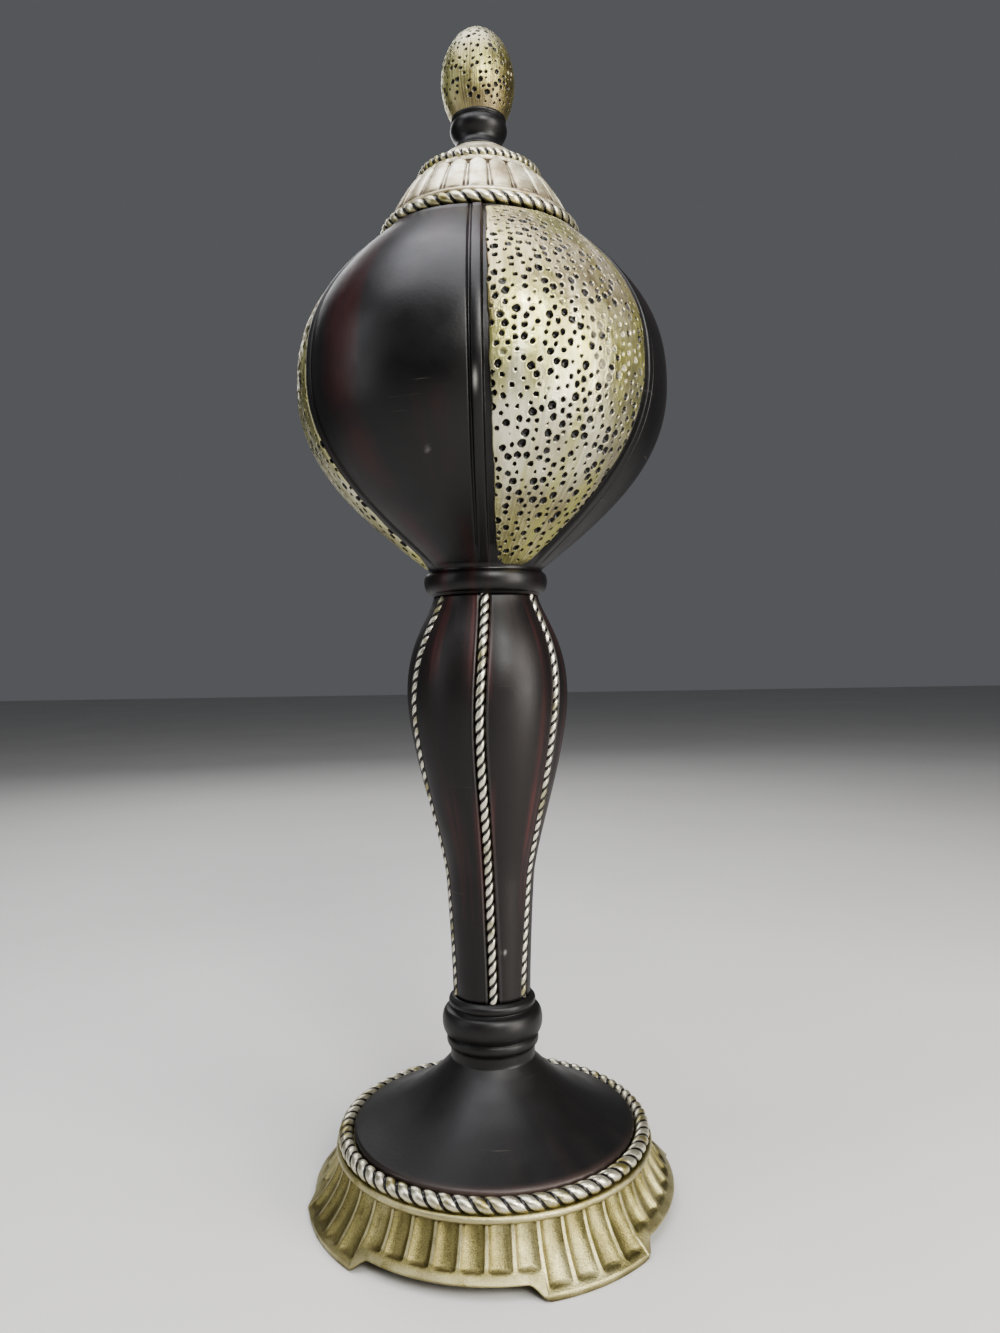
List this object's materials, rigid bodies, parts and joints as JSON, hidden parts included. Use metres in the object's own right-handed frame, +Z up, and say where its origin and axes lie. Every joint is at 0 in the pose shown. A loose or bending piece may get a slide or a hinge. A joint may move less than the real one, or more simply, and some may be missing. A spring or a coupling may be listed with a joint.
{
  "type": "finial",
  "caption": "Tall table finial: fluted plinth on four feet, dark trumpet foot, lobed stem with cords, panelled bulb, gadrooned cap and egg knob.",
  "frame": {"origin": "on the table under the middle of the plinth, in the plane of the underside of its feet", "axes": "+Z up along the axis of the finial, -Y towards the front, +X to the right seen from the front"},
  "size_m": [0.1742, 0.1732, 0.554],
  "materials": {
    "antique_gold": "satin",
    "dark_finish": "satin",
    "pale_gold": "satin"
  },
  "bodies": {
    "root": {"plinth": "antique_gold", "pedestal": "dark_finish", "stem": "dark_finish", "bulb": "pale_gold", "cap": "pale_gold", "knob": "pale_gold"}
  },
  "joints": []
}
